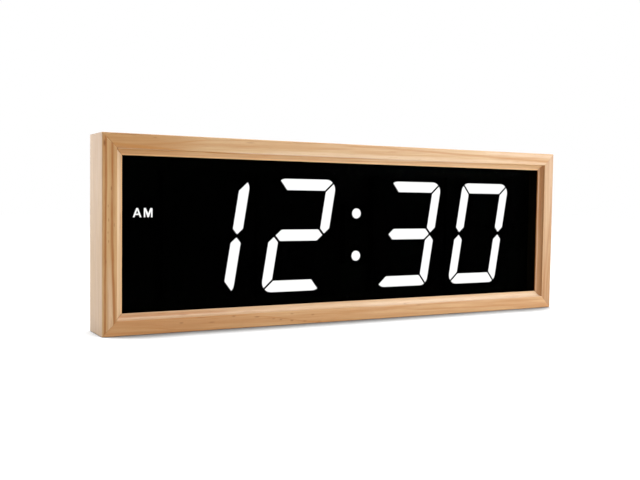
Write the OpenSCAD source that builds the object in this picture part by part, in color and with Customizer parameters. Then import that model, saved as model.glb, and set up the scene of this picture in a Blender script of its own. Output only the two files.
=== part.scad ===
// Wall clock: a mitred wooden frame round a dark lens, with four slanted seven-bar numerals behind it.
// The front faces -Y, +X is to the right and +Z is up. The origin is the middle of the base.
// A depth, written v, is measured back from the front of the frame.

/* [Frame] */
// Width of the frame
frame_w = 478; // [430:1:640]
// Height of the frame
frame_h = 162; // [145:1:260]
// Depth of the frame from front to back
frame_d = 38; // [36:0.5:60]
// Width of the flat band round the front
band_w = 12.1; // [9:0.1:16]
// Radius of the cove inside the band
cove_r = 4.2; // [3:0.1:6]
// Height of the small step between the band and the cove
cove_step = 0.4; // [0.2:0.1:1]
// Width of the flat lip between the cove and the sight edge
lip_w = 1; // [0.6:0.1:3]
// Thickness of the lip
lip_t = 1.2; // [0.8:0.1:3]
// Radius of the eased outer edges
arris_r = 0.8; // [0.3:0.1:2]
// Width of the rim round the rear cover
rim_w = 4; // [3:0.5:6]
// Width of the ledge that the rear cover is screwed to
ledge_w = 7; // [6:0.5:9]
// Depth of the rebate for the rear cover
rebate_d = 3; // [2.5:0.1:5]
// Length of a corner key across the mitre
key_l = 6; // [4:0.5:8]
// Thickness of a corner key
key_t = 0.8; // [0.5:0.1:1.5]
// Depth of a corner key in the wood
key_d = 10; // [6:0.5:14]
// Clearance round a corner key
key_clear = 0.05; // [0.02:0.01:0.1]

/* [Lens] */
// Thickness of the lens
lens_t = 2; // [1.5:0.1:4]
// Clearance between the lens and the rails
lens_clear = 0.5; // [0.2:0.1:1]
// Thickness of the adhesive tape
tape_t = 0.4; // [0.2:0.1:1]
// Setback of the tape from the sight edge
tape_setback = 0.5; // [0.2:0.1:1.5]
// Air gap between the lens and the digit housings
lens_gap = 0.3; // [0.1:0.1:0.9]

/* [Numerals] */
// Space above the numerals, up to the sight edge
face_top = 15.5; // [10:0.1:24]
// Space below the numerals, down to the sight edge
face_bottom = 11.3; // [8:0.1:24]
// Space beside the numerals, out to the sight edge
face_side = 34.7; // [32:0.1:50]
// Shift of the display to the right of the frame's middle
face_shift = 0.8; // [-2:0.1:2]
// Thickness of the level bars
bar_t = 10; // [7:0.1:13]
// Thickness of the upright bars
upright_t = 9.3; // [7:0.1:13]
// Slant of the numerals in degrees
slant = 9.4; // [0:0.1:12]
// Radius of a numeral's outer corners
corner_r = 9; // [3:0.1:10]
// Gap along the mitres between bars
mitre_gap = 1.8; // [0.5:0.1:2]
// Gap between bars at the middle
tip_gap = 2.1; // [0.8:0.1:3]
// Extra space in the middle for the colon
colon_extra = 33.7; // [28:0.1:40]
// Diameter of a colon dot
dot_d = 9.3; // [6:0.1:14]
// Spacing of the colon dots
dot_spacing = 39.5; // [20:0.5:60]
// Height of the AM and PM letters
letter_h = 7.5; // [6:0.1:10]
// Stroke of the letters
stroke = 1.2; // [1:0.1:1.8]

/* [Housings] */
// Depth of the digit housings
housing_t = 11.5; // [9:0.1:14]
// Margin of a housing beside its numeral
housing_side = 3; // [1.5:0.1:3]
// Margin of a housing above and below its numeral
housing_end = 5.2; // [4:0.1:6]
// Gap between housings
housing_gap = 4; // [1:0.1:5]
// Width of the colon's housing
colon_housing_w = 24; // [18:0.5:28]
// Width of the AM and PM housing
letter_housing_w = 28; // [24:0.5:30]
// Margin of the small housings beyond their lamps
lamp_margin = 9; // [8:0.5:14]
// Thickness of the diffusers
diffuser_t = 2; // [1:0.1:4]
// Clearance round a diffuser in its well
diffuser_clear = 0.1; // [0.05:0.01:0.2]

/* [Board] */
// Thickness of the display board
board_t = 1.6; // [1:0.1:2.4]
// Gap between the board's edges and the rails
board_gap = 4; // [2:0.5:5]
// Width of a light-emitting diode
led_w = 3.5; // [2:0.1:4]
// Height of a light-emitting diode
led_h = 2.8; // [2:0.1:4]
// Depth of a light-emitting diode
led_t = 1.9; // [0.8:0.1:2.5]
// Spacing of the diodes in a bar
led_pitch = 11; // [7:0.5:14]
// Radius of the small screws' shanks
screw_r = 1.1; // [0.8:0.05:1.5]
// Clearance of a screw in its pilot hole
pilot_clear = 0.05; // [0.02:0.01:0.1]
// Clearance of a screw in a plain hole
hole_clear = 0.4; // [0.2:0.05:0.6]
// Reach of the screws into the housings and posts
screw_reach = 6; // [4:0.5:8]

/* [Rear cover] */
// Thickness of the cover
cover_t = 2.5; // [2:0.1:3]
// Clearance between the cover and the rim
cover_clear = 0.5; // [0.2:0.1:1]
// Radius of the cover's corners
cover_r = 2; // [1:0.5:6]
// Radius of the posts that carry the board
post_r = 4; // [3:0.1:4.5]
// Distance of the outer posts from the board's ends
post_inset = 24; // [8:0.5:60]
// Distance of the cover's outer screws from the frame's ends
cover_screw_inset = 89; // [40:1:120]
// Radius of the cover screws' heads
cover_head_r = 3; // [2.4:0.1:3.2]
// Spacing of the keyholes
keyhole_spacing = 300; // [260:1:330]
// Drop of the keyholes' entries below the frame's top
keyhole_drop = 44; // [40:1:50]
// Radius of a keyhole's entry
keyhole_r = 4.5; // [4:0.1:6]
// Half the width of a keyhole's slot
keyhole_slot_r = 2.2; // [1.5:0.1:2.4]
// Rise of a keyhole's slot above its entry
keyhole_rise = 9; // [7:0.5:12]
// Number of vents in each row
vent_count = 12; // [4:1:14]
// Length of a vent
vent_l = 16; // [8:0.5:18]
// Width of a vent
vent_w = 2.4; // [1.5:0.1:3.5]

/* [Control bay] */
// Width of the bay
bay_w = 150; // [146:1:180]
// Height of the bay
bay_h = 40; // [38:0.5:50]
// Thickness of the bay's walls and floor
bay_wall = 2; // [1.2:0.1:2.5]
// Radius of the bay's corners
bay_r = 3; // [1:0.5:6]
// Radius of a button's cap
button_r = 3.6; // [2.5:0.1:4.5]
// Height of a button above the bay's floor
button_rise = 2; // [1:0.1:3]
// Clearance of a button in the floor
button_clear = 0.2; // [0.1:0.05:0.4]
// Spacing of the buttons
button_pitch = 18; // [14:0.5:18]
// Travel of a button
button_travel = 0.5; // [0.3:0.05:0.7]
// Width of a switch's body
switch_w = 6; // [5:0.1:7]
// Height of a switch's body
switch_h = 3.5; // [3:0.1:4]
// Radius of a switch's plunger
plunger_r = 1.6; // [1.2:0.1:2]
// Rise of a plunger out of its switch
plunger_rise = 0.8; // [0.8:0.05:1.2]
// Clearance of a plunger in its switch
plunger_clear = 0.05; // [0.03:0.01:0.1]
// Width of the battery door
door_w = 26; // [24:0.5:30]
// Length of the battery door from its pin
door_l = 26; // [24:0.5:28]
// Thickness of the battery door
door_t = 1.6; // [1.2:0.1:1.9]
// Clearance round the battery door
door_clear = 0.4; // [0.3:0.05:0.6]
// Radius of the door's hinge pin
pin_r = 0.9; // [0.7:0.05:1.1]
// Running clearance of the door on its pin
knuckle_clear = 0.05; // [0.03:0.01:0.1]
// Radius of the door's knuckle
knuckle_r = 2; // [1.8:0.1:2.2]
// Radius of the inlet's bore
jack_bore_r = 3.1; // [2.9:0.05:3.3]
// Radius of the inlet's pin
jack_pin_r = 1; // [0.8:0.05:1.3]
// Wall of the inlet's neck
jack_wall = 1.2; // [0.8:0.1:1.6]
// Radius of the coin cell
cell_r = 10; // [8:0.1:10.5]
// Thickness of the coin cell
cell_t = 3.2; // [2:0.1:3.4]

/* [Hidden] */
$fn = 64;

// A cut runs this far past the face it opens
past = 1;

// Widths across the moulding, from the outer edge in
rail_wall = rim_w + ledge_w;
sight_w = band_w + cove_r + lip_w;
cavity_w = frame_w - 2*rail_wall;
cavity_h = frame_h - 2*rail_wall;
ledge_mid = rim_w + ledge_w/2;

// Depths of the stack behind the frame's front
seat_v = cove_step + cove_r + lip_t;
lens_v = seat_v + tape_t;
housing_v = lens_v + lens_t + lens_gap;
board_v = housing_v + housing_t;
rear_v = board_v + board_t;
ledge_v = frame_d - rebate_d;
cover_back_v = ledge_v + cover_t;

// Buttons: the flange is held under the bay's floor, and the stem stands on the plunger
flange_w = 1.4;
flange_r = button_r + flange_w;
flange_t = 1.2;
stem_r = 1.5;
stem_l = 0.9;
plunger_depth = 0.7;
plunger_v = rear_v + switch_h + plunger_rise;
floor_in_v = plunger_v + stem_l + flange_t;
floor_v = floor_in_v + bay_wall;

// Numerals: they fill the face between its margins
face_w = frame_w - 2*sight_w;
digit_h = frame_h - 2*sight_w - face_top - face_bottom;
digit_z = sight_w + face_bottom + digit_h/2;
digit_pitch = (face_w/2 - face_side + housing_gap/2 - colon_extra/2)/2;
housing_w = digit_pitch - housing_gap;
housing_h = digit_h + 2*housing_end;
housing_r = 2;
digit_w = housing_w - digit_h*tan(slant) - 2*housing_side;
digit_x = [for (k = [-3, -1, 1, 3]) face_shift + k/2*digit_pitch + sign(k)*colon_extra/2];
colon_x = face_shift;

// Bars of a numeral by letter, clockwise from the top with the middle last, and those lit at twelve thirty
BARS = "abcdefg";
LIT = ["bc", "abged", "abgcd", "abcdef"];

// Board and the screws through it
board_w = cavity_w - 2*board_gap;
board_h = cavity_h - 2*board_gap;
head_r = 2;
head_t = 1.4;
housing_screw_inset = 4;
post_x = board_w/2 - post_inset;
post_z = [for (s = [-1, 1]) (frame_h/2 + s*board_h/2 + digit_z + s*housing_h/2)/2];
post_at = [for (x = [-post_x, 0, post_x]) for (z = post_z) [x, z]];

// AM and PM letters, beside the first numeral and level with the colon's dots
lamp_housing_h = dot_spacing + 2*lamp_margin;
letter_x = face_shift + (face_side - face_w)/2;
letter_w = letter_h*0.965;
letter_space = letter_h*0.26;

// Rear cover
cover_screw_x = frame_w/2 - cover_screw_inset;
keyhole_z = frame_h - keyhole_drop;
cover_screw_at = concat(
  [for (x = [-cover_screw_x, 0, cover_screw_x]) for (z = [ledge_mid, frame_h - ledge_mid]) [x, z]],
  [for (s = [-1, 1]) [s*(frame_w/2 - ledge_mid), frame_h/2]]);
cover_screw_reach = 10;
cover_head_t = 1.6;
recess_w = 0.7;
vent_rib = 3.4;
vent_pitch = vent_w + vent_rib;
vent_margin = 12;
vent_x = keyhole_spacing/2 - keyhole_r - vent_count*vent_pitch/2 - vent_margin;
vent_z = keyhole_z + keyhole_rise/2;
sound_hole_r = 1;
sound_ring_r = 3.6;

// Control bay: battery door on the left, three buttons, and the inlet on the right
bay_z = digit_z;
lug_w = 2.5;
door_margin = 13;
door_x = -bay_w/2 + door_margin + lug_w + door_clear + door_w/2;
hinge_z = bay_z + door_l/2;
hinge_v = floor_v - door_t/2;
lug_clear = 0.02;
stop_w = 12;
stop_reach = 1.5;
stop_t = 1.6;
grip_w = 12;
grip_h = 1.5;
grip_rise = 0.8;
scoop_r = 5;
scoop_floor = 0.8;
scoop_d = bay_wall - scoop_floor;
buttons_mid = 13;
button_x = [for (k = [-1, 0, 1]) buttons_mid + k*button_pitch];
cap_edge = 0.6;
jack_r = jack_bore_r + jack_wall;
jack_margin = 17;
jack_x = bay_w/2 - jack_margin;
jack_flange = 1.2;
jack_base_w = 2*(jack_r + jack_flange);
jack_rise = 0.8;
jack_floor = 1.2;
jack_pin_setback = 1;
jack_v0 = rear_v + jack_floor;
jack_clear = 0.2;

// Coin cell on the board, behind the battery door
cell_z = hinge_z - door_l/2;
cell_floor = 0.8;
cell_clear = 0.1;
cell_rim = 1.6;
clip_w = 5;
clip_t = 0.4;
clip_gap = 0.2;

// Parts on the board
chip_t = 2.2;
controller_w = 18;
controller_h = 7.6;
controller_x = -20;
driver_w = 10;
driver_h = 4;
lead_w = 0.4;
lead_pitch = 1.27;
lead_reach = 1.4;
lead_t = 0.25;
chip_rise = 36;
chip_z = digit_z + chip_rise;
driver_drop = 35;
driver_z = digit_z - driver_drop;
crystal_r = 2.3;
crystal_l = 10;
crystal_x = -44;
buzzer_r = 6;
buzzer_t = 8;
buzzer_hole_r = 1.5;
buzzer_margin = 22;
capacitor_r = 4;
capacitor_l = 9;
capacitor_margin = 12;
low_row_z = bay_z - bay_h/2;
buzzer_at = [-bay_w/2 - bay_wall - buzzer_margin, low_row_z];
capacitor_at = [bay_w/2 + bay_wall + capacitor_margin, low_row_z];
ir_w = 5.6;
ir_h = 7;
ir_t = 4.4;
ir_dome_r = 2.2;
ir_x = (face_w - face_side)/2;

// Slab of a flat XZ outline, from depth v to v + t
module slab(v, t) {
  translate([0, v + t - frame_d/2, 0]) rotate([90, 0, 0]) linear_extrude(t) children();
}

// Rod along Y at x, z, from depth v to v + l
module rod(at, v, l, r) {
  translate([at[0], v + l - frame_d/2, at[1]]) rotate([90, 0, 0]) cylinder(h = l, r = r);
}

// Cone along Y at x, z, from depth v to v + l
module cone(at, v, l, r_front, r_back) {
  translate([at[0], v + l - frame_d/2, at[1]]) rotate([90, 0, 0]) cylinder(h = l, r1 = r_back, r2 = r_front);
}

// Rod along X, centred on x
module cross_rod(x, v, z, l, r) {
  translate([x, v - frame_d/2, z]) rotate([0, 90, 0]) cylinder(h = l, r = r, center = true);
}

module rounded_rect(w, h, r) {
  square([w - 2*r, h], center = true);
  square([w, h - 2*r], center = true);
  for (x = [-1, 1]) for (z = [-1, 1]) translate([x*(w/2 - r), z*(h/2 - r)]) circle(r);
}

// Upright slot with round ends
module slot_outline(w, h) {
  square([w, h - w], center = true);
  for (s = [-1, 1]) translate([0, s*(h - w)/2]) circle(w/2);
}

// Section of the moulding: first axis from the outer edge in, second axis from the front back
module moulding_section() {
  difference() {
    union() {
      polygon([
        [arris_r, 0], [band_w, 0], [band_w, cove_step], [sight_w, cove_step], [sight_w, seat_v],
        [rail_wall, seat_v], [rail_wall, ledge_v], [rim_w, ledge_v], [rim_w, frame_d],
        [arris_r, frame_d], [0, frame_d - arris_r], [0, arris_r]]);
      for (v = [arris_r, frame_d - arris_r]) translate([arris_r, v]) circle(arris_r);
    }
    translate([band_w + cove_r, cove_step]) circle(cove_r);
    translate([band_w + cove_r, 0]) square([sight_w, cove_step + cove_r]);
  }
}

module cover_screw_pilots() {
  for (at = cover_screw_at) rod(at, ledge_v - cover_screw_reach - past, cover_screw_reach + 2*past,
    screw_r + pilot_clear);
}

// Corner keys, square across each mitre in the ledge
module key_plates(grow) {
  for (x = [-1, 1]) for (z = [-1, 1])
    translate([x*(frame_w/2 - ledge_mid), frame_h/2 + z*(frame_h/2 - ledge_mid)]) rotate(-45*x*z)
      square([key_l + 2*grow, key_t + 2*grow], center = true);
}

module rail_cuts() {
  cover_screw_pilots();
  slab(ledge_v - key_d - key_clear, key_d + key_clear + past) key_plates(key_clear);
}

// Level rail along the base, mitred at both ends
module level_rail() {
  mitre = sight_w + past;
  intersection() {
    translate([frame_w/2, -frame_d/2, 0]) rotate([0, -90, 0]) linear_extrude(frame_w) moulding_section();
    slab(-past, frame_d + 2*past) polygon([
      [-frame_w/2, 0], [frame_w/2, 0], [frame_w/2 - mitre, mitre], [mitre - frame_w/2, mitre]]);
  }
}

// Upright stile on the left, mitred at both ends
module upright_stile() {
  mitre = sight_w + past;
  intersection() {
    translate([-frame_w/2, -frame_d/2, 0]) linear_extrude(frame_h) moulding_section();
    slab(-past, frame_d + 2*past) polygon([
      [-frame_w/2, 0], [mitre - frame_w/2, mitre], [mitre - frame_w/2, frame_h - mitre],
      [-frame_w/2, frame_h]]);
  }
}

module frame_rail_bottom() {
  color("burlywood") difference() {
    level_rail();
    rail_cuts();
  }
}

module frame_rail_top() {
  color("burlywood") difference() {
    translate([0, 0, frame_h]) mirror([0, 0, 1]) level_rail();
    rail_cuts();
  }
}

module frame_stile_left() {
  color("burlywood") difference() {
    upright_stile();
    rail_cuts();
  }
}

module frame_stile_right() {
  color("burlywood") difference() {
    mirror([1, 0, 0]) upright_stile();
    rail_cuts();
  }
}

module corner_keys() {
  color("silver") slab(ledge_v - key_d, key_d) key_plates(0);
}

// Rectangle centred on the frame, inset from the outer edge
module inset_rect(inset) {
  translate([0, frame_h/2]) square([frame_w - 2*inset, frame_h - 2*inset], center = true);
}

module lens_tape() {
  color("dimgray") slab(seat_v, tape_t) difference() {
    inset_rect(rail_wall + lens_clear);
    inset_rect(sight_w - tape_setback);
  }
}

module front_lens() {
  color([0.02, 0.02, 0.02, 0.6]) slab(lens_v, lens_t) inset_rect(rail_wall + lens_clear);
}

function lean(points) = [for (p = points) [p[0] + p[1]*tan(slant), p[1]]];
function flip(points, across, up) = [for (p = points) [across*p[0], up*p[1]]];

// Half the level width of a gap that is square to its mitre after the slant: that stretches the mitres at the
// top right and lower left, where way is 1, and shortens the other two, where it is -1
function half_gap(b, u, gap, way) = gap/2/sin(atan2(b, u + way*b*tan(slant)));

// Bars a to g of a numeral before its slant, each grown all round and run past the numeral's outline
function top_bar(w, h, b, u, gap) =
  let (left = half_gap(b, u, gap, -1), right = half_gap(b, u, gap, 1), out = past*u/b)
  [[left - w - out, h + past], [w - right + out, h + past], [w - u - right, h - b], [u + left - w, h - b]];
function right_bar(w, h, b, u, gap, tip, way) =
  let (drop = half_gap(b, u, gap, way)*b/u, out = past*b/u)
  [[w + past, h - drop + out], [w + past, tip + u/2 + past], [w - u/2, tip], [w - u, tip + u/2],
    [w - u, h - b - drop]];
function middle_bar(w, b, u, tip) =
  let (point = w - u/2 - tip, shoulder = w - u/2 - tip - b/2)
  [[point, 0], [shoulder, b/2], [-shoulder, b/2], [-point, 0], [-shoulder, -b/2], [shoulder, -b/2]];
function bar_points(k, grow) =
  let (
    w = digit_w/2 + grow,
    h = digit_h/2 + grow,
    b = bar_t + 2*grow,
    u = upright_t + 2*grow,
    gap = mitre_gap - 2*grow,
    tip = (tip_gap - 2*grow)/sqrt(2),
    top = top_bar(w, h, b, u, gap),
    long = right_bar(w, h, b, u, gap, tip, 1),
    short = right_bar(w, h, b, u, gap, tip, -1))
  [top, long, flip(short, 1, -1), flip(top, -1, -1), flip(long, -1, -1), flip(short, -1, 1),
    middle_bar(w, b, u, tip)][k];

// Slanted outline of a whole numeral, with round corners
module numeral_outline(grow) {
  w = digit_w/2 + grow;
  h = digit_h/2 + grow;
  r = corner_r + grow;
  centres = [for (s = [[1, 1], [-1, 1], [-1, -1], [1, -1]])
    [s[0]*(w - r/cos(slant)) + s[1]*(h - r)*tan(slant), s[1]*(h - r), s[0], s[1]]];
  for (c = centres) translate([c[0], c[1]]) circle(r);
  level = [for (c = centres) [c[0], c[1] + c[3]*r]];
  side = [for (c = centres) [c[0] + c[2]*r*cos(slant), c[1] - c[2]*r*sin(slant)]];
  polygon([side[0], level[0], level[1], side[1], side[2], level[2], level[3], side[3]]);
}

module bar(k, grow = 0) {
  intersection() {
    polygon(lean(bar_points(k, grow)));
    numeral_outline(grow);
  }
}

// Screws of a digit housing: two clear corners, and the islands inside the numeral
function housing_screw_at(i) =
  let (
    corner = [housing_w/2 - housing_screw_inset, housing_h/2 - housing_screw_inset],
    island = [digit_h/4*tan(slant), digit_h/4])
  [for (p = [[-corner[0], corner[1]], [corner[0], -corner[1]], island, -island])
    [digit_x[i] + p[0], digit_z + p[1]]];
function lamp_screw_at(x) =
  let (rise = dot_spacing/2 - dot_d/2 - housing_screw_inset)
  [for (s = [-1, 1]) [x, digit_z + s*rise]];
all_housing_screws = concat(
  [for (i = [0:3]) for (at = housing_screw_at(i)) at], lamp_screw_at(colon_x), lamp_screw_at(letter_x));

module screw_pilots(places) {
  for (at = places) rod(at, board_v - screw_reach - past, screw_reach + 2*past, screw_r + pilot_clear);
}

module digit_housing(i) {
  color("black") difference() {
    slab(housing_v, housing_t) translate([digit_x[i], digit_z]) rounded_rect(housing_w, housing_h, housing_r);
    for (k = [0:len(BARS) - 1])
      slab(housing_v - past, housing_t + 2*past) translate([digit_x[i], digit_z]) bar(k, diffuser_clear);
    screw_pilots(housing_screw_at(i));
  }
}

function is_lit(i, k) = len(search(BARS[k], LIT[i])) > 0;

module bar_diffusers(i, lit) {
  for (k = [0:len(BARS) - 1]) if (is_lit(i, k) == lit)
    slab(housing_v, diffuser_t) translate([digit_x[i], digit_z]) bar(k);
}

module lit_bars(i) {
  color("white") bar_diffusers(i, true);
}

module dark_bars(i) {
  color("dimgray") bar_diffusers(i, false);
}

function dot_at() = [for (s = [-1, 1]) [colon_x, digit_z + s*dot_spacing/2]];

module colon_housing() {
  color("black") difference() {
    slab(housing_v, housing_t) translate([colon_x, digit_z])
      rounded_rect(colon_housing_w, lamp_housing_h, housing_r);
    for (at = dot_at()) rod(at, housing_v - past, housing_t + 2*past, dot_d/2 + diffuser_clear);
    screw_pilots(lamp_screw_at(colon_x));
  }
}

module colon_dots() {
  color("white") for (at = dot_at()) rod(at, housing_v, diffuser_t, dot_d/2);
}

// Letters, drawn from their lower left corner
module letter_a() {
  foot = 1.15*stroke;
  rise = (letter_w - 1.2*stroke)/2/letter_h;
  low = 0.25*letter_h;
  high = low + 0.9*stroke;
  apex = (letter_w/2 - foot)/rise;
  difference() {
    polygon([
      [0, 0], [foot, 0], [foot + low*rise, low], [letter_w - foot - low*rise, low], [letter_w - foot, 0],
      [letter_w, 0], [letter_w - rise*letter_h, letter_h], [rise*letter_h, letter_h]]);
    polygon([[foot + high*rise, high], [letter_w - foot - high*rise, high], [letter_w/2, apex]]);
  }
}

module letter_m() {
  shoulder = 1.4*stroke;
  valley = 0.42*letter_h;
  notch = 0.68*letter_h;
  foot = 0.45*stroke;
  polygon([
    [0, 0], [0, letter_h], [shoulder, letter_h], [letter_w/2, valley], [letter_w - shoulder, letter_h],
    [letter_w, letter_h], [letter_w, 0], [letter_w - stroke, 0], [letter_w - stroke, notch],
    [letter_w/2 + foot, 0], [letter_w/2 - foot, 0], [stroke, notch], [stroke, 0]]);
}

module letter_p() {
  bowl_r = 0.3*letter_h;
  inner_r = bowl_r - 0.85*stroke;
  bowl_x = letter_w - bowl_r;
  bowl_y = letter_h - bowl_r;
  square([stroke, letter_h]);
  difference() {
    union() {
      translate([0, letter_h - 2*bowl_r]) square([bowl_x, 2*bowl_r]);
      translate([bowl_x, bowl_y]) circle(bowl_r);
    }
    translate([stroke, bowl_y - inner_r]) square([bowl_x - stroke, 2*inner_r]);
    translate([bowl_x, bowl_y]) circle(inner_r);
  }
}

// A pair of letters level with one of the colon's dots: +1 above, -1 below
module letter_pair(level) {
  left = letter_x - letter_w - letter_space/2;
  base = digit_z + level*dot_spacing/2 - letter_h/2;
  translate([left, base]) {
    if (level > 0) letter_a(); else letter_p();
    translate([letter_w + letter_space, 0]) letter_m();
  }
}

module am_pm_housing() {
  color("black") difference() {
    slab(housing_v, housing_t) translate([letter_x, digit_z])
      rounded_rect(letter_housing_w, lamp_housing_h, housing_r);
    for (level = [-1, 1])
      slab(housing_v - past, diffuser_t + past) letter_pair(level);
    for (level = [-1, 1])
      slab(housing_v + diffuser_t, housing_t) translate([letter_x, digit_z + level*dot_spacing/2])
        square([2*letter_w + letter_space, letter_h], center = true);
    screw_pilots(lamp_screw_at(letter_x));
  }
}

module am_letters() {
  color("white") slab(housing_v, diffuser_t) letter_pair(1);
}

module pm_letters() {
  color("dimgray") slab(housing_v, diffuser_t) letter_pair(-1);
}

module display_board() {
  color("darkgreen") difference() {
    slab(board_v, board_t) inset_rect(rail_wall + board_gap);
    for (at = concat(all_housing_screws, post_at))
      rod(at, board_v - past, board_t + 2*past, screw_r + hole_clear);
  }
}

// Places of the diodes before the slant: three along each bar
function bar_mid(k) =
  let (across = (digit_w - upright_t)/2, up = (digit_h - bar_t)/2)
  [[0, up], [across, up/2], [across, -up/2], [0, -up], [-across, -up/2], [-across, up/2], [0, 0]][k];
function bar_run(k) = (k == 0 || k == 3 || k == 6) ? [1, 0] : [0, 1];
led_at = concat(
  [for (i = [0:3]) for (k = [0:len(BARS) - 1]) for (n = [-1, 0, 1])
    [digit_x[i], digit_z] + lean([bar_mid(k) + n*led_pitch*bar_run(k)])[0]],
  dot_at(),
  [for (s = [-1, 1]) for (n = [-1, 1]) [letter_x + n*letter_w/2, digit_z + s*dot_spacing/2]]);

module bar_leds() {
  color("ivory") for (at = led_at)
    slab(board_v - led_t, led_t) translate(at) square([led_w, led_h], center = true);
}

module housing_screws() {
  color("silver") for (at = all_housing_screws) {
    rod(at, board_v - screw_reach, screw_reach + board_t, screw_r);
    rod(at, rear_v, head_t, head_r);
  }
}

module board_screws() {
  color("silver") for (at = post_at) {
    rod(at, board_v, board_t + screw_reach, screw_r);
    rod(at, board_v - head_t, head_t, head_r);
  }
}

module ir_receiver() {
  color("#201010") {
    slab(board_v - ir_t, ir_t) translate([ir_x, digit_z]) square([ir_w, ir_h], center = true);
    translate([ir_x, board_v - ir_t - frame_d/2, digit_z]) sphere(ir_dome_r);
  }
}

// A flat chip on the back of the board, with its rows of leads
module chip(at, w, h, leads) {
  slab(rear_v, chip_t) translate(at) square([w, h], center = true);
  for (n = [0:leads - 1]) for (s = [-1, 1])
    slab(rear_v, lead_t) translate(at + [(n - (leads - 1)/2)*lead_pitch, s*(h/2 + lead_reach/2)])
      square([lead_w, lead_reach], center = true);
}

module controller_chip() {
  color("#222222") chip([controller_x, chip_z], controller_w, controller_h, 14);
}

module driver_chips() {
  color("#222222") for (x = digit_x) chip([x, driver_z], driver_w, driver_h, 8);
}

module clock_crystal() {
  color("silver") cross_rod(crystal_x, rear_v + crystal_r, chip_z, crystal_l, crystal_r);
}

module alarm_buzzer() {
  color("#222222") difference() {
    rod(buzzer_at, rear_v, buzzer_t, buzzer_r);
    rod(buzzer_at, rear_v + buzzer_t/2, buzzer_t, buzzer_hole_r);
  }
}

module filter_capacitor() {
  color("navy") rod(capacitor_at, rear_v, capacitor_l, capacitor_r);
}

module dc_power_jack() {
  at = [jack_x, bay_z];
  color("#222222") difference() {
    union() {
      slab(rear_v, floor_in_v - rear_v - jack_clear) translate(at) square(jack_base_w, center = true);
      rod(at, rear_v, floor_v + jack_rise - rear_v, jack_r);
    }
    rod(at, jack_v0, floor_v, jack_bore_r);
  }
}

module dc_jack_pin() {
  color("silver") rod([jack_x, bay_z], jack_v0, floor_v + jack_rise - jack_pin_setback - jack_v0, jack_pin_r);
}

module coin_cell_holder() {
  at = [door_x, cell_z];
  color("#222222") difference() {
    rod(at, rear_v, cell_floor + cell_t - clip_gap, cell_r + cell_clear + cell_rim);
    rod(at, rear_v + cell_floor, cell_t, cell_r + cell_clear);
  }
}

module coin_cell() {
  color("silver") rod([door_x, cell_z], rear_v + cell_floor, cell_t, cell_r);
}

// Spring strap over the cell, with a foot on the board at each end
module coin_cell_clip() {
  inner = cell_r + cell_clear + cell_rim + clip_gap;
  top_v = rear_v + cell_floor + cell_t;
  color("gold") difference() {
    slab(rear_v, top_v + clip_t - rear_v) translate([door_x, cell_z])
      square([clip_w, 2*(inner + clip_t)], center = true);
    slab(rear_v - past, top_v + past - rear_v) translate([door_x, cell_z])
      square([clip_w + 2*past, 2*inner], center = true);
  }
}

module switch_bodies() {
  color("#333333") for (x = button_x) difference() {
    slab(rear_v, switch_h) translate([x, bay_z]) square(switch_w, center = true);
    rod([x, bay_z], rear_v + switch_h - plunger_depth - button_travel - plunger_clear, switch_h,
      plunger_r + plunger_clear);
  }
}

module switch_plunger(i) {
  color("ivory") rod([button_x[i], bay_z], plunger_v - plunger_rise - plunger_depth,
    plunger_rise + plunger_depth, plunger_r);
}

// Cap through the bay's floor, retaining flange behind it, and a stem on the plunger
module button(i) {
  at = [button_x[i], bay_z];
  color("gray") {
    rod(at, plunger_v, stem_l, stem_r);
    rod(at, floor_in_v - flange_t, flange_t, flange_r);
    rod(at, floor_in_v, bay_wall + button_rise - cap_edge, button_r);
    cone(at, floor_v + button_rise - cap_edge, cap_edge, button_r, button_r - cap_edge);
  }
}

module bay_rect(grow) {
  translate([0, bay_z]) rounded_rect(bay_w + 2*grow, bay_h + 2*grow, bay_r + grow);
}

module keyholes() {
  for (s = [-1, 1]) {
    rod([s*keyhole_spacing/2, keyhole_z], ledge_v - past, cover_t + 2*past, keyhole_r);
    rod([s*keyhole_spacing/2, keyhole_z + keyhole_rise], ledge_v - past, cover_t + 2*past, keyhole_slot_r);
    slab(ledge_v - past, cover_t + 2*past) translate([s*keyhole_spacing/2, keyhole_z + keyhole_rise/2])
      square([2*keyhole_slot_r, keyhole_rise], center = true);
  }
}

module vents() {
  for (s = [-1, 1]) for (n = [0:vent_count - 1])
    slab(ledge_v - past, cover_t + 2*past)
      translate([s*vent_x + (n - (vent_count - 1)/2)*vent_pitch, vent_z])
        slot_outline(vent_w, vent_l);
}

// Sound holes over the buzzer: one in the middle of a ring of six
module sound_holes() {
  for (at = concat([[0, 0]], [for (a = [0:60:300]) sound_ring_r*[cos(a), sin(a)]]))
    rod(buzzer_at + at, ledge_v - past, cover_t + 2*past, sound_hole_r);
}

module cover_screw_holes() {
  for (at = cover_screw_at) {
    rod(at, ledge_v - past, cover_t + 2*past, screw_r + hole_clear);
    cone(at, cover_back_v - cover_head_t, cover_head_t + past, screw_r + hole_clear,
      cover_head_r + hole_clear + past*(cover_head_r - screw_r)/cover_head_t);
  }
}

module door_opening() {
  low = hinge_z - door_l - door_clear;
  high = hinge_z + knuckle_r + door_clear;
  slab(floor_in_v - past, bay_wall + 2*past) translate([door_x, (low + high)/2])
    square([door_w + 2*door_clear, high - low], center = true);
}

module hinge_lugs() {
  lug_offset = door_w/2 + door_clear + lug_w/2;
  for (s = [-1, 1]) cross_rod(door_x + s*lug_offset, hinge_v, hinge_z, lug_w, knuckle_r);
}

module door_stop() {
  edge = hinge_z - door_l;
  slab(floor_v - door_t - stop_t, stop_t) translate([door_x, edge]) translate([-stop_w/2, -2*stop_reach])
    square([stop_w, 3*stop_reach]);
}

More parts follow.
